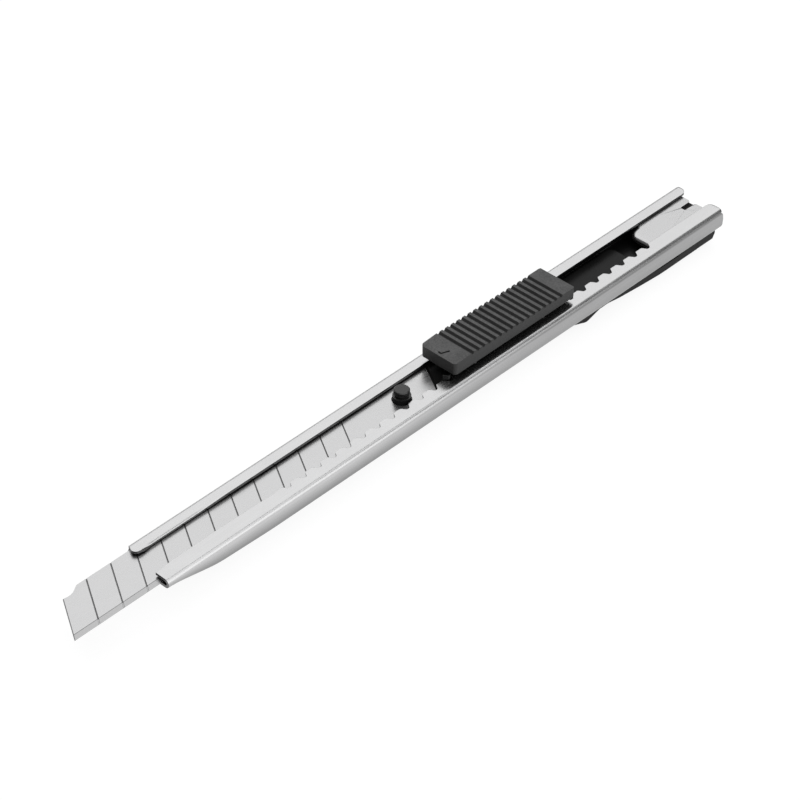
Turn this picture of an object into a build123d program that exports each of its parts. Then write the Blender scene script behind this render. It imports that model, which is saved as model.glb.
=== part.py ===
from build123d import *
import os
from math import radians, tan

# Snap-off knife: a folded stainless channel that carries a sliding segmented blade.
# Frame: +X runs towards the rear of the handle, +Y towards the blade's spine, +Z towards the button.
# The origin is midway along the knife and across the channel, at the pocket clip's lowest point.
# All sizes are in millimetres. Stations such as button_front count from the blade's tip.

# ---------------------------------------------------------------- driving dimensions
overall_length = 152.9       # blade tip to the rear end of the handle
blade_out = 18.0             # blade standing out of the nose at rest
handle_width = 11.0
handle_height = 3.9          # outside height of the folded channel
sheet = 0.5                  # thickness of the stainless sheet
floor_z = 2.7                # underside of the channel above the clip's lowest point
notch_pitch = 3.4            # one step of the slider
steps_forward = 11           # steps from rest to the foremost position
play = 0.1                   # gap between the sliding pieces and the channel

tip_x = -overall_length / 2
nose_x = tip_x + blade_out
rear_x = overall_length / 2
half_width = handle_width / 2
inside_y = half_width - sheet
floor_top = floor_z + sheet
lip_top = floor_z + handle_height
lip_under = lip_top - sheet

# ---------------------------------------------------------------- blade
blade_length = 80.0
blade_width = 9.0
blade_thick = 0.38
segment_pitch = 5.0
segments = 13
score_angle = 60.0           # between a score line and the cutting edge
bevel = 0.9                  # width of the ground band along the cutting edge
edge_thick = 0.06
score_width = 0.16
score_depth = 0.10
hole_radius = 1.75
hole_back = 4.8              # hole centre in front of the blade's tail
hole_up = 3.95               # hole centre above the cutting edge
corner_from = 4.7            # the tip's spine corner is cut away from here ...
corner_to = 8.2              # ... to here
corner_low = 6.1             # station of the lowest point of that concave cut
corner_drop = 0.9
corner_deep = 1.12

run_per_rise = 1 / tan(radians(score_angle))
edge_y = -4.12
spine_y = edge_y + blade_width
blade_top = lip_top - 0.8
blade_under = blade_top - blade_thick
slant = blade_width * run_per_rise
tail_x = tip_x + blade_length
stud_x = tail_x - hole_back
stud_y = edge_y + hole_up
edge_drop = (blade_thick - edge_thick) / 2

with BuildPart() as blade:
    with BuildSketch(Plane.YZ.offset(tip_x)):
        with BuildLine():
            Polyline(
                (edge_y, blade_top - edge_drop),
                (edge_y + bevel, blade_top),
                (spine_y, blade_top),
                (spine_y, blade_under),
                (edge_y + bevel, blade_under),
                (edge_y, blade_under + edge_drop),
                close=True,
            )
        make_face()
    extrude(amount=blade_length + slant)
    with BuildSketch(Plane.XY.offset(blade_under)):
        # both ends lie parallel to the score lines
        with BuildLine():
            Polyline((tip_x, edge_y), (tip_x + slant, spine_y), (tip_x, spine_y), close=True)
        make_face()
        with BuildLine():
            tail_top = (tail_x + slant, spine_y)
            Polyline((tail_x, edge_y), tail_top, (tail_x + slant, edge_y), close=True)
        make_face()
        # the concave cut at the tip's spine corner
        with BuildLine():
            low_end = (tip_x + corner_from, spine_y - corner_drop)
            high_end = (tip_x + corner_to, spine_y)
            ThreePointArc(low_end, (tip_x + corner_low, spine_y - corner_deep), high_end)
            Polyline(high_end, (tip_x + corner_from, spine_y), low_end)
        make_face()
    extrude(amount=blade_thick, mode=Mode.SUBTRACT)
    # score lines between the segments, from the ground band to the spine
    with BuildSketch(Plane.XY.offset(blade_top - score_depth)):
        for number in range(1, segments):
            foot = tip_x + number * segment_pitch + bevel * run_per_rise
            head = tip_x + number * segment_pitch + slant
            with BuildLine():
                Polyline(
                    (foot - score_width / 2, edge_y + bevel),
                    (foot + score_width / 2, edge_y + bevel),
                    (head + score_width / 2, spine_y),
                    (head - score_width / 2, spine_y),
                    close=True,
                )
            make_face()
    extrude(amount=score_depth, mode=Mode.SUBTRACT)
    with Locations((stud_x, stud_y, blade_top)):
        Hole(hole_radius)

# ---------------------------------------------------------------- handle channel
lip_bend = 0.85              # outside radius where a wall turns into a lip
floor_bend = 0.6             # outside radius where a wall turns into the floor
least_bend = 0.12            # smallest inside bend radius
crest_y = -2.33              # plain edge of the toothed lip and crests of its teeth
valley_y = -3.30             # bottoms of the notches
far_y = 2.92                 # edge of the plain lip
first_notch = tip_x + 46.3
notches = 27
valley_half = 0.42
crest_half = 1.10
valley_round = 0.55
crest_round = 0.5
lip_end = 0.3                # the lips stop this far short of the walls' rear ends
lip_corner = 1.3             # rounding of the lips' free corners at the rear
front_corner = 0.9           # rounding of the plain lip's free corner at the nose
wall_corner = 0.9            # rounding of the walls' rear corners
neck_slot = 7.7              # length of the open slot in the floor for the end plug's neck
neck_slot_half = 2.0
nose_floor = [               # station and lift of the floor, from full depth to the nose
    (40.0, 0.0),
    (28.6, 0.42),
    (19.6, 1.98),
    (blade_out, 2.05),
]


def channel_section(station, lift, inset):
    """Outline of the folded sheet at a station: inset 0 is its outside, inset sheet its inside."""
    low = floor_z + lift + inset
    high = lip_top - inset
    half = half_width - inset
    with BuildSketch(Plane.YZ.offset(station)) as outline:
        with BuildLine():
            Polyline((-half, low), (half, low), (half, high), (-half, high), close=True)
        make_face()
        fillet(outline.vertices().group_by(Axis.Y)[0], max(floor_bend - inset, least_bend))
        fillet(outline.vertices().group_by(Axis.Y)[-1], max(lip_bend - inset, least_bend))
    return outline.sketch


with BuildPart() as handle_channel:
    ramp_x = tip_x + nose_floor[0][0]
    for inset, mode in ((0.0, Mode.ADD), (sheet, Mode.SUBTRACT)):
        extrude(channel_section(ramp_x, 0.0, inset), amount=rear_x - ramp_x, mode=mode)
    for (back, back_lift), (front, front_lift) in zip(nose_floor, nose_floor[1:]):
        for inset, mode in ((0.0, Mode.ADD), (sheet, Mode.SUBTRACT)):
            ends = [
                channel_section(tip_x + back, back_lift, inset),
                channel_section(tip_x + front, front_lift, inset),
            ]
            loft(ends, ruled=True, mode=mode)
    # the slot between the lips, with the notches that hold the blade at each step
    with BuildSketch(Plane.XY.offset(lip_under - sheet / 2)) as slot:
        with BuildLine():
            Polyline(
                (nose_x - 1, crest_y),
                (rear_x + 1, crest_y),
                (rear_x + 1, far_y),
                (nose_x - 1, far_y),
                close=True,
            )
        make_face()
        for number in range(notches):
            centre = first_notch + number * notch_pitch
            with BuildLine():
                Polyline(
                    (centre - valley_half, valley_y),
                    (centre + valley_half, valley_y),
                    (centre + crest_half, crest_y),
                    (centre + crest_half, 0),
                    (centre - crest_half, 0),
                    (centre - crest_half, crest_y),
                    close=True,
                )
            make_face()
        valleys = slot.vertices().filter_by_position(Axis.Y, valley_y - 0.01, valley_y + 0.01)
        fillet(valleys, valley_round)
        crests = slot.vertices().filter_by_position(Axis.Y, crest_y - 0.01, crest_y + 0.01)
        fillet(crests.filter_by_position(Axis.X, nose_x, rear_x), crest_round)
    extrude(amount=2 * sheet, mode=Mode.SUBTRACT)
    # the lips end ahead of the walls
    with BuildSketch(Plane.XY.offset(lip_under)):
        with Locations((rear_x - lip_end / 2, 0)):
            Rectangle(lip_end, handle_width)
    extrude(amount=sheet, mode=Mode.SUBTRACT)
    uprights = handle_channel.edges().filter_by(Axis.Z)
    rear_lips = uprights.filter_by_position(Axis.X, rear_x - lip_end - 0.01, rear_x - lip_end + 0.01)
    fillet(rear_lips.filter_by_position(Axis.Y, crest_y - 0.01, far_y + 0.01), lip_corner)
    uprights = handle_channel.edges().filter_by(Axis.Z)
    front_lips = uprights.filter_by_position(Axis.X, nose_x - 0.01, nose_x + 0.01)
    fillet(front_lips.filter_by_position(Axis.Y, far_y - 0.01, far_y + 0.01), front_corner)
    # the walls' rounded rear corners, just under the lips and at the floor
    with BuildSketch(Plane.XZ.offset(-handle_width)):
        for level, turn in ((lip_under, 1), (floor_z, -1)):
            middle_z = level - turn * wall_corner
            with BuildLine():
                CenterArc((rear_x - wall_corner, middle_z), wall_corner, 0, turn * 90)
                Polyline(
                    (rear_x - wall_corner, level),
                    (rear_x + 1, level),
                    (rear_x + 1, middle_z),
                    (rear_x, middle_z),
                )
            make_face()
    extrude(amount=2 * handle_width, mode=Mode.SUBTRACT)
    # the open slot in the floor for the end plug's neck
    with BuildSketch(Plane.XY.offset(floor_z)):
        with Locations((rear_x - neck_slot / 2, 0)):
            Rectangle(neck_slot, 2 * neck_slot_half)
    extrude(amount=sheet, mode=Mode.SUBTRACT)

# ---------------------------------------------------------------- blade carrier
carrier_half = inside_y - 0.25
carrier_low = floor_top + play
carrier_front = tip_x + 67.0
carrier_rear = tip_x + 115.0
carrier_corner = 1.5         # rounding of its front corners
taper_end = tip_x + 79.0     # the underside rises from here forward to clear the nose's ramp
taper_rise = 0.45
tail_end = tip_x + 131.8
tail_half = 3.0
tail_corner = 1.0
tail_low = carrier_low + 0.7
tail_high = tail_low + 0.9
seat_gap = 0.4               # gap between the blade's tail and the step behind it
stud_radius = 1.6
waist_radius = 1.1
head_radius = 1.38
stud_shoulder = blade_top + 0.9
stud_waist = blade_top + 1.3
stud_top = blade_top + 2.2
stud_chamfer = 0.14
window_length = 4.2          # windows for the button's two snap legs
window_width = 2.9
ledge_z = carrier_low + 0.9  # the legs' hooks catch under this ledge
hook = 0.4
leg_stations = (92.5, 107.5)
leg_y = 1.0

with BuildPart() as blade_carrier:
    with BuildSketch(Plane.XZ.offset(-carrier_half)):
        with BuildLine():
            Polyline(
                (carrier_front, carrier_low + taper_rise),
                (taper_end, carrier_low),
                (carrier_rear, carrier_low),
                (carrier_rear, blade_under),
                (carrier_front, blade_under),
                close=True,
            )
        make_face()
    extrude(amount=2 * carrier_half)
    # the step behind the blade's tail
    with BuildSketch(Plane.XY.offset(blade_under)):
        with BuildLine():
            step_x = tail_x + seat_gap
            low_x = step_x + (-carrier_half - edge_y) * run_per_rise
            high_x = step_x + (carrier_half - edge_y) * run_per_rise
            Polyline(
                (low_x, -carrier_half),
                (carrier_rear, -carrier_half),
                (carrier_rear, carrier_half),
                (high_x, carrier_half),
                close=True,
            )
        make_face()
    extrude(amount=blade_thick)
    front_uprights = blade_carrier.edges().filter_by(Axis.Z).group_by(Axis.X)[0]
    fillet(front_uprights, carrier_corner)
    # the low tail that runs back under the snapper plate
    with BuildSketch(Plane.XY.offset(tail_low)):
        with BuildLine():
            Polyline(
                (carrier_rear, -tail_half),
                (tail_end, -tail_half),
                (tail_end, tail_half),
                (carrier_rear, tail_half),
                close=True,
            )
        make_face()
    extrude(amount=tail_high - tail_low)
    fillet(blade_carrier.edges().filter_by(Axis.Z).group_by(Axis.X)[-1], tail_corner)
    # the stud that holds the blade
    with Locations((stud_x, stud_y, 0)):
        for radius, low, high in (
            (stud_radius, blade_under, stud_shoulder),
            (waist_radius, stud_shoulder, stud_waist),
            (head_radius, stud_waist, stud_top),
        ):
            with Locations((0, 0, low)):
                Cylinder(radius, high - low, align=(Align.CENTER, Align.CENTER, Align.MIN))
    stud_edges = blade_carrier.edges().filter_by(GeomType.CIRCLE).group_by(Axis.Z)[-1]
    chamfer(stud_edges, stud_chamfer)
    for station in leg_stations:
        with BuildSketch(Plane.XY.offset(blade_top)):
            with Locations((tip_x + station, leg_y)):
                Rectangle(window_length, window_width)
        extrude(amount=carrier_low - blade_top, mode=Mode.SUBTRACT)
        with BuildSketch(Plane.XY.offset(ledge_z)):
            with Locations((tip_x + station, leg_y)):
                Rectangle(window_length + 2 * hook, window_width)
        extrude(amount=carrier_low - ledge_z, mode=Mode.SUBTRACT)

# ---------------------------------------------------------------- slider button
button_front = tip_x + 84.05
button_rear = tip_x + 113.95
button_half = 3.97
button_low = blade_top + 1.9
button_front_corner = 0.7
button_rear_corner = 0.9
front_pad_end = tip_x + 87.9
front_pad_z = blade_top + 4.17
pad_high = blade_top + 4.40  # the front pad rises to here, and the ribs fall from here ...
rear_pad_z = blade_top + 3.97    # ... to the level of the rear pad
rear_slope = 0.4
rib_depth = 0.38
rib_pitch = 1.39
ribs = 16
rib_valley = 0.30            # flat bottom between two ribs
rib_front = 0.30             # run of a rib's front slope
rib_back = 0.20              # run of its rear slope
neck_near = -0.6
neck_far = far_y - 0.3
post_near = crest_y + 0.25
neck_front = tip_x + 85.2
post_front = tip_x + 99.0
neck_rear = tip_x + 112.5
anchor_y = -1.2              # the lock spring's anchored end
anchor_rear = tip_x + 103.0
anchor_slot_half = 0.4
anchor_relief = 0.6          # the slot runs this far past the spring's end
leg_play = 0.05
leg_slit_half = 0.6          # half the slit that lets a leg spring inwards
leg_slit_top = 0.4           # the slit ends this far under the post
leg_foot = 0.1               # the legs end this far above the carrier's underside
leg_lead = 0.3               # the legs' feet are drawn in by this
nub_stations = (89.3, 106.3)
nub_y = 3.6
nub_length = 0.5
nub_width = 0.4
nub_height = 0.4
tick = [(84.75, 0.55), (84.62, -0.12), (85.35, -0.46), (86.1, -0.80)]
tick_width = 0.34
tick_depth = 0.2

with BuildPart() as slider_button:
    with BuildSketch(Plane.XZ.offset(-button_half)):
        with BuildLine():
            outline = [
                (button_front, button_low),
                (button_front, front_pad_z),
                (front_pad_end, pad_high),
                (front_pad_end + rib_back, pad_high - rib_depth),
            ]
            start = front_pad_end + rib_back + rib_valley
            for number in range(ribs):
                rise = start + number * rib_pitch
                fall = rise + rib_pitch - rib_valley - rib_back
                crest_z = pad_high - (pad_high - rear_pad_z) * number / ribs
                outline += [
                    (rise, crest_z - rib_depth),
                    (rise + rib_front, crest_z),
                    (fall, crest_z),
                    (fall + rib_back, crest_z - rib_depth),
                ]
            last = start + ribs * rib_pitch
            outline += [
                (last, rear_pad_z - rib_depth),
                (last + rib_front, rear_pad_z),
                (button_rear, rear_pad_z),
                (button_rear + rear_slope, rear_pad_z - rear_slope),
                (button_rear + rear_slope, button_low),
            ]
            Polyline(*outline, close=True)
        make_face()
    extrude(amount=2 * button_half)
    fillet(slider_button.edges().filter_by(Axis.Z).group_by(Axis.X)[0], button_front_corner)
    fillet(slider_button.edges().filter_by(Axis.Z).group_by(Axis.X)[-1], button_rear_corner)
    # the neck that passes through the slot, and the wider post behind it
    with BuildSketch(Plane.XY.offset(button_low)):
        with BuildLine():
            Polyline(
                (neck_front, neck_near),
                (post_front, neck_near),
                (post_front, post_near),
                (neck_rear, post_near),
                (neck_rear, neck_far),
                (neck_front + (neck_far - neck_near) * run_per_rise, neck_far),
                close=True,
            )
        make_face()
    extrude(amount=blade_top - button_low)
    # a slot in the post holds the lock spring's rear end
    with BuildSketch(Plane.XY.offset(button_low)):
        with Locations(((post_front + anchor_rear) / 2, anchor_y)):
            Rectangle(anchor_rear - post_front + anchor_relief, 2 * anchor_slot_half)
    extrude(amount=blade_top - button_low, mode=Mode.SUBTRACT)
    # two snap legs that hook under the carrier's ledges
    for station in leg_stations:
        leg_x = tip_x + station
        with BuildSketch(Plane.XZ.offset(-(leg_y + window_width / 2 - leg_play))):
            with BuildLine():
                shank = window_length / 2 - leg_play
                foot_z = carrier_low + leg_foot
                slit_z = blade_top - leg_slit_top
                catch = hook - 2 * leg_play
                Polyline(
                    (leg_x - shank, blade_top),
                    (leg_x - shank, ledge_z - leg_play),
                    (leg_x - shank - catch, ledge_z - leg_play),
                    (leg_x - shank + leg_lead, foot_z),
                    (leg_x - leg_slit_half, foot_z),
                    (leg_x - leg_slit_half, slit_z),
                    (leg_x + leg_slit_half, slit_z),
                    (leg_x + leg_slit_half, foot_z),
                    (leg_x + shank - leg_lead, foot_z),
                    (leg_x + shank + catch, ledge_z - leg_play),
                    (leg_x + shank, ledge_z - leg_play),
                    (leg_x + shank, blade_top),
                    close=True,
                )
            make_face()
        extrude(amount=window_width - 2 * leg_play)
    # small nubs under the long edges
    with BuildSketch(Plane.XY.offset(button_low)):
        with Locations(*[(tip_x + s, side * nub_y) for s in nub_stations for side in (-1, 1)]):
            Rectangle(nub_length, nub_width)
    extrude(amount=-nub_height)
    # a small sunken tick on the front pad
    with BuildSketch(Plane.XY.offset(front_pad_z - tick_depth)):
        with BuildLine():
            Polyline(*[(tip_x + station, y) for station, y in tick])
        trace(line_width=tick_width)
    extrude(amount=1, mode=Mode.SUBTRACT)

# ---------------------------------------------------------------- lock spring
leaf = 0.3                   # thickness of the spring leaf
leaf_bend = 0.35
lock_x = first_notch + steps_forward * notch_pitch
leaf_low = blade_top + play
leaf_high = button_low - 0.15

with BuildPart() as lock_spring:
    with BuildSketch(Plane.XY.offset(leaf_low)):
        with BuildLine():
            FilletPolyline(
                (anchor_rear, anchor_y),
                (post_front - 0.5, anchor_y),
                (lock_x + 1.05, -1.95),
                (lock_x, -3.15),
                (lock_x - 0.75, -2.2),
                radius=leaf_bend,
            )
        trace(line_width=leaf)
    extrude(amount=leaf_high - leaf_low)

# ---------------------------------------------------------------- snapper plate
plate_front = tip_x + 136.1
plate_rear = tip_x + 151.4
plate_half = inside_y - 0.15
plate_top = lip_under - play
plate_under = plate_top - sheet
plate_wall = 0.4
bull_nose = 0.9              # rounding of its front and side edges
plate_corner = 1.2           # rounding of its near front corner, seen from above
tongue_y = 2.6               # ahead of the shoulder its far side is drawn in to here ...
shoulder_y = 3.0             # ... and here
shoulder_x = tip_x + 138.7
tongue_round = 2.2
shoulder_round = 1.0
shoulder_nook = 0.5
plate_skirt = tail_high + 0.1
snap_slot_width = 1.1
snap_slot_y = 0.43
snap_slot_depth = 2.9
slot_corner = 0.35
mouth = 0.35                 # length and half the spread of the slot's flared mouth
tab_front = tip_x + 139.7
tab_rear = tip_x + 150.0
tab_low = carrier_low + 0.8
window_stations = (141.5, 147.5)
lug_length = 1.8
lug_low = tab_low + 0.35
lug_high = lug_low + 0.5


def plate_outline(inset, rear):
    """Outline of the plate from above: inset 0 is its outside, inset plate_wall its inside."""
    near = (plate_front + inset, inset - plate_half)
    tongue = (plate_front + inset, tongue_y - inset)
    nook = (shoulder_x + inset, shoulder_y - inset)
    shoulder = (shoulder_x + inset, plate_half - inset)
    with BuildSketch(Plane.XY.offset(plate_skirt)) as outline:
        with BuildLine():
            Polyline(
                near,
                (rear, inset - plate_half),
                (rear, plate_half - inset),
                shoulder,
                nook,
                tongue,
                close=True,
            )
        make_face()
        for corner, radius in (
            (near, plate_corner - inset),
            (tongue, tongue_round - inset),
            (nook, shoulder_nook + inset),
            (shoulder, shoulder_round - inset),
        ):
            fillet(outline.vertices().sort_by_distance((*corner, 0))[0], radius)
    return outline.sketch


with BuildPart() as snapper_plate:
    extrude(plate_outline(0.0, plate_rear), amount=plate_top - plate_skirt)
    rim = snapper_plate.faces().sort_by(Axis.Z)[-1].edges()
    fillet(rim.filter_by_position(Axis.X, plate_front - 0.1, plate_rear - 0.1), bull_nose)
    hollow = plate_outline(plate_wall, plate_rear + 1)
    extrude(hollow, amount=plate_under - plate_skirt, mode=Mode.SUBTRACT)
    # side tabs with windows for the end plug's lugs
    for side in (-1, 1):
        with BuildSketch(Plane.XZ.offset(-side * (plate_half - plate_wall / 2) - plate_wall / 2)):
            with Locations(((tab_front + tab_rear) / 2, (tab_low + plate_under) / 2)):
                Rectangle(tab_rear - tab_front, plate_under - tab_low)
            with Locations(*[(tip_x + s, (lug_low + lug_high) / 2) for s in window_stations]):
                Rectangle(lug_length + 0.2, lug_high - lug_low + 0.2, mode=Mode.SUBTRACT)
        extrude(amount=plate_wall)
    # the slot that grips a blade segment while it is snapped off
    with BuildSketch(Plane.XY.offset(plate_under)) as grip:
        with Locations((plate_rear - snap_slot_depth / 2 + 0.5, snap_slot_y)):
            Rectangle(snap_slot_depth + 1.0, snap_slot_width)
        fillet(grip.vertices().group_by(Axis.X)[0], slot_corner)
        # the slot's mouth flares
        with BuildLine():
            Polyline(
                (plate_rear - mouth, snap_slot_y - snap_slot_width / 2),
                (plate_rear + mouth, snap_slot_y - snap_slot_width / 2 - 2 * mouth),
                (plate_rear + mouth, snap_slot_y + snap_slot_width / 2 + 2 * mouth),
                (plate_rear - mouth, snap_slot_y + snap_slot_width / 2),
                close=True,
            )
        make_face()
    extrude(amount=sheet, mode=Mode.SUBTRACT)

# ---------------------------------------------------------------- end plug
plug_front = tip_x + 139.8
plug_rear = plate_rear
plug_low = floor_top + play / 2
rail_inner = tail_half + 0.3
rail_outer = plate_half - plate_wall
web_high = tail_low - 0.3
bridge_front = tip_x + 147.5
bridge_low = tail_high + play
neck_front_x = rear_x - neck_slot + 0.4
base_front = tip_x + 146.45
base_rear = tip_x + 151.4
base_half = 5.0
base_low = 0.95
base_high = floor_z - play / 2

with BuildPart() as end_plug:
    with BuildSketch(Plane.YZ.offset(plug_front)):
        with BuildLine():
            Polyline(
                (-rail_outer, plug_low),
                (rail_outer, plug_low),
                (rail_outer, plate_under),
                (rail_inner, plate_under),
                (rail_inner, web_high),
                (-rail_inner, web_high),
                (-rail_inner, plate_under),
                (-rail_outer, plate_under),
                close=True,
            )
        make_face()
    extrude(amount=plug_rear - plug_front)
    # lugs that snap into the plate's side windows
    with BuildSketch(Plane.XZ.offset(-rail_outer - plate_wall)):
        with Locations(*[(tip_x + s, (lug_low + lug_high) / 2) for s in window_stations]):
            Rectangle(lug_length, lug_high - lug_low)
    extrude(amount=plate_wall)
    with BuildSketch(Plane.XZ.offset(rail_outer)):
        with Locations(*[(tip_x + s, (lug_low + lug_high) / 2) for s in window_stations]):
            Rectangle(lug_length, lug_high - lug_low)
    extrude(amount=plate_wall)
    # a bridge between the rails, under the plate's slot
    with BuildSketch(Plane.XY.offset(bridge_low)):
        with Locations(((bridge_front + plug_rear) / 2, 0)):
            Rectangle(plug_rear - bridge_front, 2 * rail_inner)
    extrude(amount=plate_under - bridge_low)
    # the neck through the floor's slot
    with BuildSketch(Plane.XY.offset(base_high)):
        with Locations(((neck_front_x + base_rear) / 2, 0)):
            Rectangle(base_rear - neck_front_x, 2 * (neck_slot_half - 0.1))
    extrude(amount=plug_low - base_high)
    # the clip's root under the floor, with a bevelled rear end
    with BuildSketch(Plane.XZ.offset(-base_half)):
        with BuildLine():
            Polyline(
                (base_front, base_low),
                (base_rear - 0.6, base_low),
                (base_rear, base_low + 0.9),
                (base_rear, base_high),
                (base_front, base_high),
                close=True,
            )
        make_face()
    extrude(amount=2 * base_half)

# ---------------------------------------------------------------- pocket clip
clip_back = base_front - 0.04
clip_half_root = 5.0
clip_half_tip = 3.8
taper_from = tip_x + 136.0
clip_tip = tip_x + 113.8
tip_corner = 0.4
catch_x = tip_x + 117.75     # lowest point, a ridge across the clip's free end
touch_x = tip_x + 118.6      # where the clip touches the channel

with BuildPart() as pocket_clip:
    with BuildSketch(Plane.XZ.offset(-clip_half_root)):
        with BuildLine():
            Polyline(
                (clip_tip, 1.7),
                (clip_tip, 1.25),
                (catch_x - 0.6, 0.1),
                (catch_x, 0.0),
                (catch_x + 0.5, 0.12),
                (tip_x + 120.9, 1.15),
                (tip_x + 123.0, 1.34),
                (tip_x + 126.0, 1.06),
                (tip_x + 131.0, 0.92),
                (tip_x + 138.0, 0.88),
                (clip_back, base_low),
                (clip_back, base_high),
                (tip_x + 144.5, base_high - 0.12),
                (tip_x + 141.0, base_high - 0.45),
                (tip_x + 124.0, base_high - 0.30),
                (touch_x + 1.0, base_high - 0.02),
                (touch_x - 0.6, base_high),
                (touch_x - 2.0, base_high - 0.2),
                close=True,
            )
        make_face()
    extrude(amount=2 * clip_half_root)
    with BuildSketch(Plane.XY):
        for side in (-1, 1):
            with BuildLine():
                Polyline(
                    (clip_tip - 1, side * clip_half_tip),
                    (clip_tip + 2.6, side * clip_half_tip),
                    (taper_from, side * clip_half_root),
                    (taper_from, side * (clip_half_root + 1)),
                    (clip_tip - 1, side * (clip_half_root + 1)),
                    close=True,
                )
            make_face()
    extrude(amount=floor_z, mode=Mode.SUBTRACT)
    fillet(pocket_clip.edges().filter_by(Axis.Z).group_by(Axis.X)[0], tip_corner)

# ---------------------------------------------------------------- export
pieces = {
    "blade": blade,
    "handle_channel": handle_channel,
    "blade_carrier": blade_carrier,
    "slider_button": slider_button,
    "lock_spring": lock_spring,
    "snapper_plate": snapper_plate,
    "end_plug": end_plug,
    "pocket_clip": pocket_clip,
}
os.makedirs("parts", exist_ok=True)
for name, piece in pieces.items():
    piece.part.label = name
    export_step(piece.part, f"parts/{name}.step")
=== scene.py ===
"""Snap-off knife: its looks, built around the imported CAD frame.

Pieces are modelled in millimetres and scaled to metres when their mesh is written.
A station is a distance in millimetres behind the blade's tip.
The toothed lip and the cutting edge are on the near side (-Y), the plain lip is on the far side.
"""
import math

import bmesh
import bpy
from mathutils import Matrix, Vector


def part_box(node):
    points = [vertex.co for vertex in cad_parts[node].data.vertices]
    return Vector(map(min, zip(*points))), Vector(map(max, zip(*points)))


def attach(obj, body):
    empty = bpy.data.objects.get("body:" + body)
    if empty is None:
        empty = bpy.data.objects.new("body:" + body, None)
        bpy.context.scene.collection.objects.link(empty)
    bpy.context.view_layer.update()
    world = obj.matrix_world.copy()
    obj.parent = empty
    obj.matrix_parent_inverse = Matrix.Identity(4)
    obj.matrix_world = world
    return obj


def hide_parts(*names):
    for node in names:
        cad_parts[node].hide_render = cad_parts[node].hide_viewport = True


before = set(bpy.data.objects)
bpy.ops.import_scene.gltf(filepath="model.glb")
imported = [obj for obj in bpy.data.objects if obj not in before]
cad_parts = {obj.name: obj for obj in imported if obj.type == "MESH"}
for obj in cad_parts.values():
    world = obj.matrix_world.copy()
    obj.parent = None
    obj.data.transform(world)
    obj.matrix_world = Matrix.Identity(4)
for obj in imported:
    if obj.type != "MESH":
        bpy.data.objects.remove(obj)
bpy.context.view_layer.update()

MM = 0.001
scene = bpy.context.scene
scene.view_settings.view_transform = "Standard"


def corners(node):
    """A CAD node's lowest and highest corner, in millimetres."""
    low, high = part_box(node)
    return low / MM, high / MM


BLADE_LOW, BLADE_HIGH = corners("blade")
CHANNEL_LOW, CHANNEL_HIGH = corners("handle_channel")
TIP = BLADE_LOW.x
REAR = CHANNEL_HIGH.x - TIP  # station of the channel's rear end
CLOSE = 0.01                 # what counts as the same place


def at(station):
    return TIP + station


def clamp(value, low=0.0, high=1.0):
    return max(low, min(high, value))


def smooth(value):
    value = clamp(value)
    return value * value * (3 - 2 * value)


def lerp_table(points, value):
    """Straight-line reading of a short list of (where, what) pairs."""
    if value <= points[0][0]:
        return points[0][1]
    for (x0, y0), (x1, y1) in zip(points, points[1:]):
        if value <= x1:
            return y0 + (y1 - y0) * (value - x0) / (x1 - x0)
    return points[-1][1]


def soft_table(points, value, reach):
    """lerp_table with its corners rounded over a reach."""
    steps = [(-1 + i * 0.25) * reach for i in range(9)]
    return sum(lerp_table(points, value + s) for s in steps) / len(steps)


def onward(start, end, steps):
    """Evenly spaced values from just after a start to an end."""
    return [start + (end - start) * (i + 1) / steps for i in range(steps)]


def arc(centre_y, centre_z, radius, start, points):
    """Points on a quarter circle that begins at an angle in degrees."""
    angles = [math.radians(start + 90 * i / (points - 1)) for i in range(points)]
    return [(centre_y + radius * math.cos(a), centre_z + radius * math.sin(a)) for a in angles]


def rounded(gap, radius):
    """How far a round corner falls short of one edge, at a gap from the other edge."""
    inside = clamp(radius - gap, 0.0, radius)
    return radius - math.sqrt(radius * radius - inside * inside)


# ------------------------------------------------------------------ materials
def new_material(name, color, metallic, roughness):
    mat = bpy.data.materials.new(name)
    mat.use_nodes = True
    bsdf = mat.node_tree.nodes["Principled BSDF"]
    bsdf.inputs["Base Color"].default_value = (*color, 1)
    bsdf.inputs["Metallic"].default_value = metallic
    bsdf.inputs["Roughness"].default_value = roughness
    return mat, mat.node_tree, bsdf


def add(tree, kind, **settings):
    node = tree.nodes.new(kind)
    for key, value in settings.items():
        setattr(node, key, value)
    return node


def grain(tree, scale, detail):
    """Noise read in the piece's own coordinates, stretched by scale (per metre along each axis)."""
    place = add(tree, "ShaderNodeTexCoord")
    stretch = add(tree, "ShaderNodeMapping", vector_type="POINT")
    stretch.inputs["Scale"].default_value = scale
    noise = add(tree, "ShaderNodeTexNoise")
    noise.inputs["Scale"].default_value = 1.0
    noise.inputs["Detail"].default_value = detail
    tree.links.new(place.outputs["Object"], stretch.inputs["Vector"])
    tree.links.new(stretch.outputs["Vector"], noise.inputs["Vector"])
    return noise.outputs["Fac"]


NOISE_LOW, NOISE_HIGH = 0.3, 0.7  # the part of the noise's range that shows


def spread(tree, value, low, high):
    """A noise value stretched to run from low to high."""
    remap = add(tree, "ShaderNodeMapRange")
    remap.inputs["From Min"].default_value = NOISE_LOW
    remap.inputs["From Max"].default_value = NOISE_HIGH
    remap.inputs["To Min"].default_value = low
    remap.inputs["To Max"].default_value = high
    tree.links.new(value, remap.inputs["Value"])
    return remap.outputs["Result"]


def mix(tree, a, b, share):
    """Blend of two values: share of b."""
    node = add(tree, "ShaderNodeMix", data_type="FLOAT")
    tree.links.new(a, node.inputs[2])
    tree.links.new(b, node.inputs[3])
    node.inputs[0].default_value = share
    return node.outputs[0]


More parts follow.
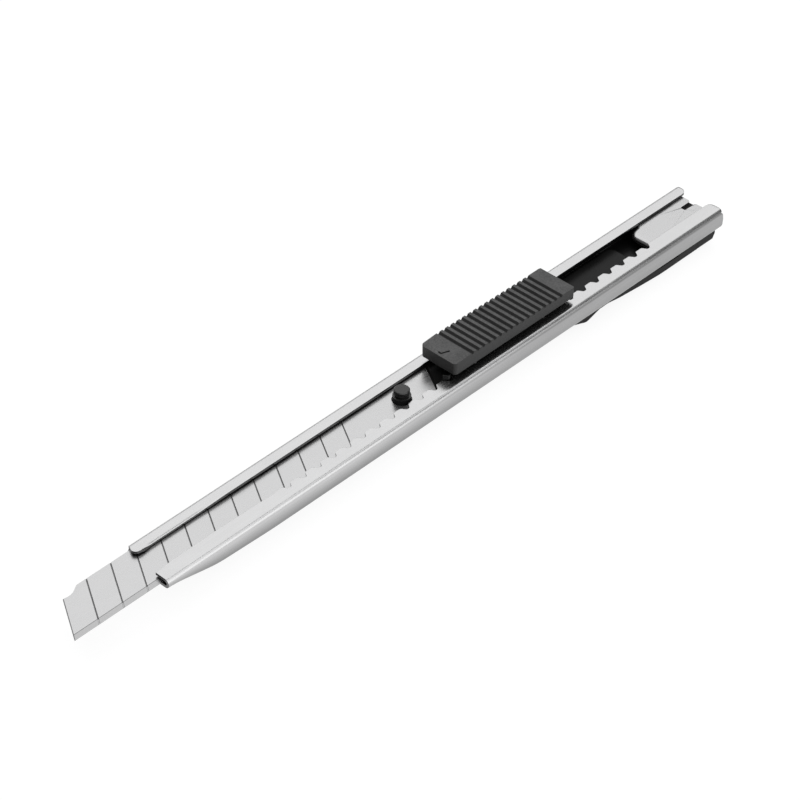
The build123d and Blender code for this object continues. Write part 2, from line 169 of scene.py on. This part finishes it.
def colour_by(tree, value, dark, light):
    """A noise value turned into a colour between dark and light."""
    ramp = add(tree, "ShaderNodeValToRGB")
    ramp.color_ramp.elements[0].position = NOISE_LOW
    ramp.color_ramp.elements[0].color = (*dark, 1)
    ramp.color_ramp.elements[1].position = NOISE_HIGH
    ramp.color_ramp.elements[1].color = (*light, 1)
    tree.links.new(value, ramp.inputs["Fac"])
    return ramp.outputs["Color"]


def bump(tree, bsdf, height, strength, distance):
    node = add(tree, "ShaderNodeBump")
    node.inputs["Strength"].default_value = strength
    node.inputs["Distance"].default_value = distance
    tree.links.new(height, node.inputs["Height"])
    tree.links.new(node.outputs["Normal"], bsdf.inputs["Normal"])


def grey(tone):
    return (tone, tone, tone * 1.005)


def painted(tree, layer):
    """A grey share of painted shade that the mesh carries in a named layer."""
    node = add(tree, "ShaderNodeAttribute", attribute_name=layer)
    return node.outputs["Color"]


def tinted(tree, color, shade):
    node = add(tree, "ShaderNodeMix", data_type="RGBA", blend_type="MULTIPLY")
    node.inputs[0].default_value = 1.0
    tree.links.new(color, node.inputs[6])
    tree.links.new(shade, node.inputs[7])
    return node.outputs[2]


def brushed_steel(name, tone, roughness, along=(60, 5000, 5000), depth=0.12, layer=None):
    """Rolled sheet: fine lines along the knife, cloudy patches and small differences in gloss."""
    mat, tree, bsdf = new_material(name, grey(tone), metallic=1.0, roughness=roughness)
    lines = grain(tree, along, detail=4.0)
    clouds = grain(tree, (180, 420, 420), detail=3.0)
    both = mix(tree, lines, clouds, share=0.45)
    color = colour_by(tree, both, grey(tone * 0.95), grey(tone * 1.04))
    # A layer, when given, darkens the colour by the painted shade that the mesh carries.
    if layer:
        color = tinted(tree, color, painted(tree, layer))
    tree.links.new(color, bsdf.inputs["Base Color"])
    tree.links.new(spread(tree, both, roughness * 0.8, roughness * 1.25), bsdf.inputs["Roughness"])
    bump(tree, bsdf, lines, strength=depth, distance=0.01 * MM)
    return mat


def moulded_plastic(name, dark, light, roughness, shine, grain_mm=0.16, depth=0.35):
    """Moulded plastic with a fine eroded grain and a faint cloudiness."""
    mat, tree, bsdf = new_material(name, grey(light), metallic=0.0, roughness=roughness)
    bsdf.inputs["Specular IOR Level"].default_value = shine
    scale = 1 / (grain_mm * MM)
    pits = grain(tree, (scale, scale, scale), detail=2.0)
    clouds = grain(tree, (250, 250, 250), detail=2.0)
    both = mix(tree, pits, clouds, share=0.4)
    tree.links.new(colour_by(tree, both, grey(dark), grey(light)), bsdf.inputs["Base Color"])
    tree.links.new(spread(tree, both, roughness * 0.85, roughness * 1.15), bsdf.inputs["Roughness"])
    bump(tree, bsdf, pits, strength=depth, distance=0.02 * MM)
    return mat


# ------------------------------------------------------------------ meshes
WELD = 0.0005                # corners closer than this are joined
FLAT = 0.4                   # degrees between faces that are joined into one
LOOKS_UP = 0.65              # least upward part of the normal of a face that looks up


def to_piece(name, bm, body, slot, materials, replaced, **finish):
    """Writes a mesh modelled in millimetres as a piece that stands for a CAD node."""
    mesh = bpy.data.meshes.new(name)
    bmesh.ops.scale(bm, vec=(MM, MM, MM), verts=bm.verts)
    bmesh.ops.recalc_face_normals(bm, faces=bm.faces)
    bm.to_mesh(mesh)
    bm.free()
    piece = bpy.data.objects.new(name, mesh)
    scene.collection.objects.link(piece)
    finish_piece(piece, body, slot, materials, replaced, **finish)
    return piece


def finish_piece(piece, body, slot, materials, replaced, bevel=0.0, limit=25.0, thickness=0.0, sharp=50.0):
    """Gives a piece its thickness, rounded edges, shading and place in the frame."""
    for material in materials:
        piece.data.materials.append(material)
    if thickness:
        solid = piece.modifiers.new("sheet", "SOLIDIFY")
        solid.thickness = thickness * MM
        solid.offset = -1
        solid.use_even_offset = True
        solid.material_offset = 1
        solid.material_offset_rim = 2
    if bevel:
        edge = piece.modifiers.new("edges", "BEVEL")
        edge.width = bevel * MM
        edge.segments = 2
        edge.limit_method = "ANGLE"
        edge.angle_limit = math.radians(limit)
        edge.use_clamp_overlap = True
        edge.miter_outer = "MITER_ARC"
    bake_modifiers(piece)
    for face in piece.data.polygons:
        face.use_smooth = True
    piece.data.set_sharp_from_angle(angle=math.radians(sharp))
    weighted = piece.modifiers.new("shading", "WEIGHTED_NORMAL")
    weighted.keep_sharp = True
    weighted.weight = 100
    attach(piece, body)
    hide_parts(replaced)


def bake_modifiers(piece):
    depsgraph = bpy.context.evaluated_depsgraph_get()
    mesh = bpy.data.meshes.new_from_object(piece.evaluated_get(depsgraph))
    piece.modifiers.clear()
    piece.data = mesh


def refined(node, name, body, slot, materials, bevel, above=None):
    """A finer copy of a CAD node: its flat faces joined up and its edges rounded.

    Faces that look up from above a line, given as heights at stations, take the second material: a lighter
    copy of the first, painted light from above.
    Flat faces with many corners are cut into triangles, because some have an opening in them.
    """
    piece = bpy.data.objects.new(name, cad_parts[node].data.copy())
    scene.collection.objects.link(piece)
    bm = bmesh.new()
    bm.from_mesh(piece.data)
    bmesh.ops.remove_doubles(bm, verts=bm.verts, dist=WELD * MM)
    bmesh.ops.dissolve_limit(bm, angle_limit=math.radians(FLAT), verts=bm.verts, edges=bm.edges)
    bmesh.ops.triangulate(bm, faces=[face for face in bm.faces if len(face.verts) > 4])
    for edge in bm.edges:
        edge.smooth = True
    for face in bm.faces:
        centre = face.calc_center_median() / MM
        high = above is not None and centre.z > lerp_table(above, centre.x - TIP)
        # Upward faces above the line take the lighter copy: painted light.
        face.material_index = int(high and face.normal.z > LOOKS_UP)
    mesh = bpy.data.meshes.new(name)
    bm.to_mesh(mesh)
    bm.free()
    piece.data = mesh
    finish_piece(piece, body, slot, materials, node, bevel=bevel)


# ------------------------------------------------------------------ handle channel
SHEET = 0.5                  # thickness of the folded sheet
LIP_BEND = 0.88              # outer radius of the bend from a wall to its lip
FLOOR_BEND = 0.6             # outer radius of the bend from a wall to the floor
NOSE_BEND = 0.32             # what is added to that radius at the nose
NOSE_BEND_END = 28.0         # station where the addition has gone
NOSE_BEND_REACH = 9.0        # and the length over which it goes
LIP_SHARES = (0, 0.06, 0.15, 0.3, 0.5, 0.75)  # rows of corners from a lip's free edge to its bend
WALL_SHARES = (0.04, 0.5, 0.96)               # and from the top of a wall to its foot

NOSE = 18.0                  # station of the nose
NOSE_LIFT = 2.05             # how far the floor has risen there
NOSE_SLOPE = 0.04            # how it falls from there
NOSE_LEVEL_END = 19.0        # up to this station
FLOOR_LIFT = [(18, 2.05), (19.6, 1.98), (28.6, 0.42), (40, 0.0)]  # by station
FLOOR_SOFT = 1.4             # how far the corners of that table are rounded

FIRST_NOTCH = 46.3           # station of the first notch's middle
PITCH = 3.4
NOTCHES = 27
CREST = -2.33                # y of the toothed lip's free edge between the notches
VALLEY = -3.30               # and at the bottom of a notch
NOTCH_FLAT = 0.22            # half width of a notch's flat bottom
NOTCH_SIDE = 0.80            # width of each curved side
TEETH_START = FIRST_NOTCH - PITCH / 2
TEETH_END = TEETH_START + NOTCHES * PITCH
PLAIN_EDGE = [(18, -2.55), (22, -2.26), (32, -2.22), (40, -2.40), (44.4, -2.56)]  # y by station
PLAIN_SOFT = 1.0             # how far the corners of that table are rounded
PLAIN_JOIN = 1.2             # length over which the plain stretch meets the first crest

FAR_EDGE = 2.92              # y of the plain lip's free edge
PRESS_DEPTH = 0.20           # how far that edge is pressed down near the front
PRESS_WIDTH = 0.55
PRESS_START, PRESS_RISE = 18.5, 3.0
PRESS_END, PRESS_FALL = 39.0, 8.0

FRONT_BACK = 0.75            # how far behind the nose the plain lip begins
FRONT_CORNER = 1.0           # radius of its corner
FRONT_SLANT = 0.5            # how its end leans back, per millimetre across
FRONT_WALL_Y = 4.2           # beyond this the sheet is wall, and the slant ends on it
FRONT_WALL_FOOT = 2.1        # at this height above the channel's underside
FRONT_WALL_RISE = 0.6        # and comes in over this much height
FRONT_FADE = 5.0             # length over which the shifted corners come back to their stations

REAR_LIP_BACK = 0.25         # how far ahead of the walls the lips stop
REAR_LIP_CORNER = 1.2        # radius of a lip's corner at its free edge
REAR_BEND_CORNER = 0.8       # radius of its corner at the bend
REAR_BEND_SHARE = 0.55       # and how much of that round shows
REAR_WALL_CORNER = 1.0       # radius of a wall's upper corner
REAR_FOOT_CORNER = 1.2       # radius of its lower corner
REAR_BLEND = 0.08            # height over which a lip's end passes into its wall's
REAR_FADE = 3.2              # length over which the shifted corners come back to their stations

NECK_SLOT = 145.2            # station where the slot for the end plug's neck begins
NECK_HALF = 2.0              # half its width
FLOOR_ROWS = (-NECK_HALF, -0.7, 0.7, NECK_HALF)
STRETCHES = [                # where each stretch of the channel ends, and its number of steps
    (20.7, 9), (TEETH_START, 44), (TEETH_END, 18 * NOTCHES), (NECK_SLOT, 8), (REAR, 26),
]

PAINTED_SHADE_LAYER = "shade"        # the mesh layer that holds the painted shade
# Painted shade of a wall by height, from its foot (0) to the lip (1), at the front and at the rear.
PAINTED_FRONT_SHADE = [(0.0, 0.36), (0.14, 0.47), (0.38, 0.67), (0.54, 0.84), (0.7, 1.0), (1.0, 1.0)]
PAINTED_REAR_SHADE = [
    (0.0, 0.50), (0.12, 0.60), (0.60, 0.67), (0.74, 0.67), (0.78, 0.52),
    (0.85, 0.36), (0.90, 0.50), (0.94, 0.90), (0.97, 0.85), (1.0, 1.0),
]
# painted shade of the channel's floor, under the blade
PAINTED_FLOOR_SHADE = 0.8
PAINTED_SHADE_START, PAINTED_SHADE_LENGTH = 55.0, 65.0  # where the front's painted shade passes into the rear's


def floor_lift(station):
    """How far the floor stands above its level in the handle."""
    if station <= NOSE_LEVEL_END:
        return NOSE_LIFT - NOSE_SLOPE * (station - NOSE)
    return soft_table(FLOOR_LIFT, station, FLOOR_SOFT)


def near_edge(station):
    """The toothed lip's free edge: a plain stretch that bows, and then the notches."""
    if station < TEETH_START:
        edge = soft_table(PLAIN_EDGE, station, PLAIN_SOFT)
        return edge + (CREST - edge) * smooth((station - TEETH_START + PLAIN_JOIN) / PLAIN_JOIN)
    if station > TEETH_END:
        return CREST
    off = abs((station - TEETH_START) % PITCH - PITCH / 2)
    return VALLEY + (CREST - VALLEY) * smooth((off - NOTCH_FLAT) / NOTCH_SIDE)


def section(station):
    """Outside of the folded sheet at a station, from the toothed lip's free edge round to the plain lip's."""
    top = CHANNEL_HIGH.z
    low = CHANNEL_LOW.z + floor_lift(station)
    radius = FLOOR_BEND + NOSE_BEND * smooth((NOSE_BEND_END - station) / NOSE_BEND_REACH)
    lip_y, lip_z = CHANNEL_HIGH.y - LIP_BEND, top - LIP_BEND
    foot_y, foot_z = CHANNEL_HIGH.y - radius, low + radius
    near = near_edge(station)
    press_rise = smooth((station - PRESS_START) / PRESS_RISE)
    press_fall = smooth((PRESS_END - station) / PRESS_FALL)
    wall = [lip_z + (foot_z - lip_z) * share for share in WALL_SHARES]

    rows = [(near + (-lip_y - near) * share, top) for share in LIP_SHARES]
    rows += arc(-lip_y, lip_z, LIP_BEND, 90, 11)
    rows += [(-CHANNEL_HIGH.y, z) for z in wall]
    rows += arc(-foot_y, foot_z, radius, 180, 8)
    rows += [(y, low) for y in FLOOR_ROWS]
    rows += arc(foot_y, foot_z, radius, 270, 8)
    rows += [(CHANNEL_HIGH.y, z) for z in reversed(wall)]
    rows += arc(lip_y, lip_z, LIP_BEND, 0, 11)
    for share in reversed(LIP_SHARES):
        y = FAR_EDGE + (lip_y - FAR_EDGE) * share
        pressed = smooth((FAR_EDGE + PRESS_WIDTH - y) / PRESS_WIDTH)
        rows.append((y, top - PRESS_DEPTH * press_rise * press_fall * pressed))
    return rows


def front_shift(y, z):
    """How far behind the nose the sheet begins: the plain lip has a rounded corner and a slanted end."""
    across = y - FAR_EDGE
    if across < -CLOSE:
        return 0.0
    shift = FRONT_BACK + rounded(across, FRONT_CORNER) + FRONT_SLANT * max(0.0, across - FRONT_CORNER)
    if y > FRONT_WALL_Y:
        shift *= smooth((z - CHANNEL_LOW.z - FRONT_WALL_FOOT) / FRONT_WALL_RISE)
    return shift


def rear_shift(y, z):
    """How far ahead of the rear end the sheet stops: the lips stop early and every corner is round."""
    lip_under = CHANNEL_HIGH.z - SHEET
    lip = smooth((z - lip_under) / REAR_BLEND + 0.5)
    edge = -y + CREST if y < 0 else y - FAR_EDGE
    free_corner = rounded(edge, REAR_LIP_CORNER)
    bend_corner = REAR_BEND_SHARE * rounded(CHANNEL_HIGH.y - abs(y), REAR_BEND_CORNER)
    lip_end = REAR_LIP_BACK + free_corner + bend_corner
    wall_end = rounded(lip_under - z, REAR_WALL_CORNER) + rounded(z - CHANNEL_LOW.z, REAR_FOOT_CORNER)
    return lip_end * lip + wall_end * (1 - lip)


def painted_wall_shade(y, z, station):
    """Painted shade: the walls darker towards the floor, the folded edge darker towards the rear, and the
    channel's floor darker than its lips.
    """
    low = CHANNEL_LOW.z + floor_lift(station)
    if abs(y) < CHANNEL_HIGH.y - LIP_BEND - CLOSE:
        return 1.0 if z > (low + CHANNEL_HIGH.z) / 2 else PAINTED_FLOOR_SHADE
    share = clamp((z - low) / (CHANNEL_HIGH.z - low))
    toward_rear = smooth((station - PAINTED_SHADE_START) / PAINTED_SHADE_LENGTH)
    return lerp_table(PAINTED_FRONT_SHADE, share) * (1 - toward_rear) + lerp_table(PAINTED_REAR_SHADE, share) * toward_rear


def channel_stations():
    """Where the channel has a column of corners: closest at its ends and along the notches."""
    stations = [NOSE]
    for end, steps in STRETCHES:
        stations += onward(stations[-1], end, steps)
    return stations


def in_neck_slot(a, b, station):
    """Whether the floor between two neighbouring corners is cut out for the end plug's neck."""
    on_floor = max(a.co.z, b.co.z) < CHANNEL_LOW.z + CLOSE
    return station > NECK_SLOT - CLOSE and on_floor and abs(a.co.y + b.co.y) / 2 < NECK_HALF


def make_channel(materials):
    """The channel's outside, a column of corners at each station; its thickness goes inwards."""
    bm = bmesh.new()
    shade = bm.verts.layers.float_color.new(PAINTED_SHADE_LAYER)
    stations = channel_stations()
    grid = []
    for station in stations:
        column = []
        front_share = clamp((NOSE + FRONT_FADE - station) / FRONT_FADE)
        rear_share = clamp((station - REAR + REAR_FADE) / REAR_FADE)
        for y, z in section(station):
            x = at(station) + front_shift(y, z) * front_share - rear_shift(y, z) * rear_share
            vert = bm.verts.new((x, y, z))
            # painted shade of the sheet at this corner
            value = painted_wall_shade(y, z, station)
            vert[shade] = (value, value, value, 1)
            column.append(vert)
        grid.append(column)
    for here, there, station in zip(grid, grid[1:], stations):
        for i in range(len(here) - 1):
            if not in_neck_slot(here[i], here[i + 1], station):
                bm.faces.new((here[i], there[i], there[i + 1], here[i + 1]))
    to_piece("folded_channel", bm, "handle", "channel_steel", materials, "handle_channel",
             bevel=0.08, limit=55, thickness=SHEET)


# ------------------------------------------------------------------ blade
SEGMENT = 5.0
BLADE_LENGTH = 80.0
BLADE_WIDTH = BLADE_HIGH.y - BLADE_LOW.y
SEGMENT_ENDS = 15            # along the whole blade
SCORES = 12                  # those of them that have a score line
RUN = 1 / math.tan(math.radians(60))  # how far a score line leans back, per millimetre across
GROUND = 0.9                 # width of the ground band along the cutting edge
EDGE_HALF = 0.02             # half thickness of the cutting edge
LINE = 0.10                  # width of the line where the ground band ends, which takes the dark groove steel
SCORE_HALF = 0.09            # half width of a score line's flat bottom
SCORE_SIDE = 0.05            # width of each of its sides
SCORE_DEPTH = 0.12
SCORE_END = 0.72             # how far from the cutting edge a score line runs out
SCORE_FADE = 0.2             # length over which it does
FRACTURE = 0.14              # width of the rough strip along the snapped front edge
TIP_CUT = [                  # how far across the blade reaches, by u
    (0.0, 8.1), (0.5, 8.02), (1.0, 7.95), (1.5, 7.95),
    (2.0, 8.12), (2.4, 8.4), (2.7, 8.74), (3.0, 9.0),
]
TIP_CUT_LOW = 7.0            # below this width the cut at the tip leaves the blade's shape alone
TIP_COLUMNS = 12             # over the cut
BEHIND_CUT = 4.0             # u of one more column behind it
BLADE_ROWS = [0.0, GROUND, GROUND + LINE, 3.0, 5.5, 7.4, BLADE_WIDTH]
PLAIN, GROOVE, BAND = 0, 1, 2  # places of the blade's materials; GROOVE's dark steel is partly rough and partly painted shade
HOLE = (75.2, -0.17)         # station and y of the hole for the stud
HOLE_RADIUS = 1.75
DRILL_LENGTH = 2.0


def blade_columns():
    """Values of u: close together at the tip's cut and at each score line."""
    columns = [0.0, FRACTURE, BEHIND_CUT, BLADE_LENGTH] + onward(0.0, TIP_CUT[-1][0], TIP_COLUMNS)
    outer = SCORE_HALF + SCORE_SIDE
    for number in range(1, SEGMENT_ENDS + 1):
        for off in (-outer, -SCORE_HALF, SCORE_HALF, outer, SEGMENT / 2):
            columns.append(number * SEGMENT + off)
    return sorted(set(round(c, 4) for c in columns))


def blade_point(u, v, side):
    """A corner of the blade, u along its edge and v across; side is 1 on top, where it is scored, or -1."""
    if v > TIP_CUT_LOW:
        reach = lerp_table(TIP_CUT, u)
        v = TIP_CUT_LOW + (v - TIP_CUT_LOW) / (BLADE_WIDTH - TIP_CUT_LOW) * (reach - TIP_CUT_LOW)
    drop = ((BLADE_HIGH.z - BLADE_LOW.z) / 2 - EDGE_HALF) * (1 - clamp(v / GROUND))
    nearest = round(u / SEGMENT)
    in_score = 1 <= nearest <= SCORES and abs(u - nearest * SEGMENT) < SCORE_HALF + CLOSE
    score = SCORE_DEPTH * smooth((v - SCORE_END) / SCORE_FADE) if in_score else 0.0
    z = BLADE_HIGH.z - drop - score if side > 0 else BLADE_LOW.z + drop
    return (TIP + u + v * RUN, BLADE_LOW.y + v, z)


def blade_material(u, u_next, row, side):
    """Place of the material of the face between two columns, in a row counted from the cutting edge."""
    off_middle = abs((u + u_next) / 2 % SEGMENT - SEGMENT / 2)
    at_segment_end = off_middle > SEGMENT / 2 - SCORE_HALF - SCORE_SIDE
    scored = at_segment_end and SEGMENT / 2 < u < (SCORES + 0.5) * SEGMENT and side > 0
    if scored and row > 0 or row == 1 or u < FRACTURE:
        return GROOVE
    return BAND if row == 0 else PLAIN


def drill(piece, centre, radius):
    """Cuts a round upright hole through a piece, given in millimetres."""
    mesh = bpy.data.meshes.new("drill")
    bm = bmesh.new()
    place = Matrix.Translation(Vector(centre) * MM)
    bmesh.ops.create_cone(bm, cap_ends=True, segments=64, radius1=radius * MM, radius2=radius * MM,
                          depth=DRILL_LENGTH * MM, matrix=place)
    bm.to_mesh(mesh)
    bm.free()
    tool = bpy.data.objects.new("drill", mesh)
    scene.collection.objects.link(tool)
    hole = piece.modifiers.new("hole", "BOOLEAN")
    hole.operation = "DIFFERENCE"
    hole.object = tool
    hole.solver = "EXACT"
    bake_modifiers(piece)
    bpy.data.objects.remove(tool)


def make_blade(materials):
    """The blade as a grid: u runs parallel to the edge from one slanted score line to the next, v across."""
    bm = bmesh.new()
    columns = blade_columns()
    sheets = []
    for side in (1, -1):
        grid = [[bm.verts.new(blade_point(u, v, side)) for v in BLADE_ROWS] for u in columns]
        sheets.append(grid)
        for u, u_next, here, there in zip(columns, columns[1:], grid, grid[1:]):
            for row in range(len(BLADE_ROWS) - 1):
                face = bm.faces.new((here[row], there[row], there[row + 1], here[row + 1]))
                face.material_index = blade_material(u, u_next, row, side)
    upper, lower = sheets
    for a in range(len(columns) - 1):
        for row in (0, -1):
            bm.faces.new((upper[a][row], upper[a + 1][row], lower[a + 1][row], lower[a][row]))
    for top, under in ((upper[0], lower[0]), (upper[-1], lower[-1])):
        for i in range(len(BLADE_ROWS) - 1):
            end = bm.faces.new((top[i], top[i + 1], under[i + 1], under[i]))
            end.material_index = GROOVE
    piece = to_piece("scored_blade", bm, "carriage", "blade_steel", materials, "blade", sharp=8)
    drill(piece, (at(HOLE[0]), HOLE[1], (BLADE_HIGH.z + BLADE_LOW.z) / 2), HOLE_RADIUS)


# ------------------------------------------------------------------ camera, floor and lights
AZIMUTH = -45.81             # degrees from -Y round towards +X
ELEVATION = 39.574
ROLL = -0.308
DISTANCE = 485.24
TARGET = (-1.62, -0.11, 5.8)
LENS = 131.75
SENSOR = 36

FLOOR_TONE = 0.15
FLOOR_GLOW = 0.88
FLOOR_HALF = 3               # in metres
FLOOR_GAP = 0.02             # how far below the knife the floor lies
WORLD_GLOW = 0.12
PANELS = [                   # name, centre, facing, width, height, radiance; in metres
    ("overhead", (0.62, 0.95, 1.0), (0, 0, -1), 2.25, 2.0, 1.2),
    ("far_side", (1.5, 2.2, 0.5), (0, -1, 0), 2.6, 0.8, 0.65),
    ("near_top", (-0.15, -0.525, 1.0), (0, 0, -1), 1.9, 0.75, 1.2),
    ("near_side", (0.15, -1.2, 0.675), (0, 1, 0), 1.8, 1.35, 1.5),
]


def make_camera():
    azimuth, elevation = math.radians(AZIMUTH), math.radians(ELEVATION)
    back = Vector((
        math.sin(azimuth) * math.cos(elevation),
        -math.cos(azimuth) * math.cos(elevation),
        math.sin(elevation),
    ))
    data = bpy.data.cameras.new("camera")
    data.lens = LENS
    data.sensor_width = SENSOR
    data.clip_start = 0.01
    data.clip_end = 20
    camera = bpy.data.objects.new("camera", data)
    scene.collection.objects.link(camera)
    level = (-back).to_track_quat("-Z", "Y").to_matrix()
    turn = Matrix.Rotation(math.radians(ROLL), 3, "Z")
    place = Vector(TARGET) * MM + back * (DISTANCE * MM)
    camera.matrix_world = Matrix.Translation(place) @ (level @ turn).to_4x4()
    scene.camera = camera


def make_floor():
    """A pale floor that glows enough to look white."""
    mesh = bpy.data.meshes.new("floor")
    bm = bmesh.new()
    bmesh.ops.create_grid(bm, x_segments=1, y_segments=1, size=FLOOR_HALF)
    bm.to_mesh(mesh)
    bm.free()
    floor = bpy.data.objects.new("floor", mesh)
    floor.location.z = -FLOOR_GAP * MM
    scene.collection.objects.link(floor)
    mat, _, bsdf = new_material("floor", grey(FLOOR_TONE), metallic=0.0, roughness=0.9)
    bsdf.inputs["Emission Color"].default_value = (1, 1, 1, 1)
    bsdf.inputs["Emission Strength"].default_value = FLOOR_GLOW
    mesh.materials.append(mat)


def panel(name, centre, facing, width, height, radiance):
    """A rectangular area light, as bright as a lit screen; places and sizes in metres."""
    data = bpy.data.lights.new(name, "AREA")
    data.shape = "RECTANGLE"
    data.size = width
    data.size_y = height
    data.energy = math.pi * radiance * width * height
    light = bpy.data.objects.new(name, data)
    light.location = centre
    light.rotation_euler = Vector(facing).to_track_quat("-Z", "Y").to_euler()
    scene.collection.objects.link(light)


def make_lights():
    """Panels above, beyond and on the near side of the knife; the side the blade points to stays dark."""
    world = bpy.data.worlds.new("studio")
    world.use_nodes = True
    background = world.node_tree.nodes["Background"]
    background.inputs["Color"].default_value = (1, 1, 1, 1)
    background.inputs["Strength"].default_value = WORLD_GLOW
    scene.world = world
    for each in PANELS:
        panel(*each)


# ------------------------------------------------------------------ the knife
make_camera()
make_floor()
make_lights()

# The channel's steel is darkened by the painted shade in its mesh layer.
channel_steel = brushed_steel("channel_steel", tone=0.55, roughness=0.22, layer=PAINTED_SHADE_LAYER)
# The inside of the sheet: the same steel, darkened as painted shade under the lips and in the channel.
inner_steel_painted_shade = brushed_steel("inner_steel_painted_shade", tone=0.06, roughness=0.42)
# The sheet's cut edge: rougher in its own right, and darkened as painted shade along the lips.
cut_edge_and_shade = brushed_steel("cut_edge_and_shade", tone=0.14, roughness=0.3)
blade_steel = brushed_steel("blade_steel", tone=0.52, roughness=0.28, along=(300, 4000, 4000), depth=0.05)
# Score lines, the line of the ground band, the snapped front and the ends: rough steel in part, and darkened
# as painted shade.
groove_steel_and_shade = brushed_steel("groove_steel_and_shade", tone=0.16, roughness=0.45)
ground_steel = brushed_steel("ground_steel", tone=0.42, roughness=0.3, along=(2500, 300, 300), depth=0.05)
plate_steel = brushed_steel("plate_steel", tone=0.51, roughness=0.26)
spring_steel = brushed_steel("spring_steel", tone=0.03, roughness=0.3)
# The button's plastic in two copies: this darker one on faces that do not look up, and a lighter one with a
# coarser grain on faces that look up, whose lightness is painted light.
button_plastic = moulded_plastic("button_plastic", dark=0.022, light=0.038, roughness=0.5, shine=0.25,
                                 grain_mm=0.14, depth=0.4)
grip_grain_and_painted_light = moulded_plastic("grip_grain_and_painted_light", dark=0.045, light=0.118, roughness=0.55, shine=0.3,
                               grain_mm=0.30, depth=0.7)
cap_plastic = moulded_plastic("cap_plastic", dark=0.007, light=0.012, roughness=0.42, shine=0.10)
carrier_plastic = moulded_plastic("carrier_plastic", dark=0.006, light=0.012, roughness=0.32, shine=0.12,
                                  depth=0.1)
# A glossier copy of the carrier's plastic on the stud's upward faces; its lighter colour is painted light.
stud_top_painted_light = moulded_plastic("stud_top_painted_light", dark=0.012, light=0.020, roughness=0.28, shine=0.5,
                               depth=0.15)

BUTTON_TOP = corners("slider_button")[1].z
# Above this line, faces of the button that look up take the lighter copy: painted light.
BUTTON_PAINTED_LIGHT_LINE = [(84.0, BUTTON_TOP - 0.4), (87.5, BUTTON_TOP - 0.2), (111.0, BUTTON_TOP - 0.62)]
# Above this height, faces of the carrier that look up take the lighter copy: painted light.
STUD_PAINTED_LIGHT_LINE = [(0.0, BLADE_HIGH.z + 0.3)]

make_channel([channel_steel, inner_steel_painted_shade, cut_edge_and_shade])
make_blade([blade_steel, groove_steel_and_shade, ground_steel])
refined("slider_button", "ribbed_button", "carriage", "button_plastic", [button_plastic, grip_grain_and_painted_light],
        bevel=0.12, above=BUTTON_PAINTED_LIGHT_LINE)
refined("blade_carrier", "carrier_moulding", "carriage", "carrier_plastic", [carrier_plastic, stud_top_painted_light],
        bevel=0.06, above=STUD_PAINTED_LIGHT_LINE)
refined("lock_spring", "lock_leaf", "lock", "spring_steel", [spring_steel], bevel=0.03)
refined("snapper_plate", "snapper_cover", "end_cap", "plate_steel", [plate_steel], bevel=0.05)
refined("end_plug", "plug_moulding", "end_cap", "cap_plastic", [cap_plastic], bevel=0.05)
refined("pocket_clip", "clip_moulding", "clip", "cap_plastic", [cap_plastic], bevel=0.12)
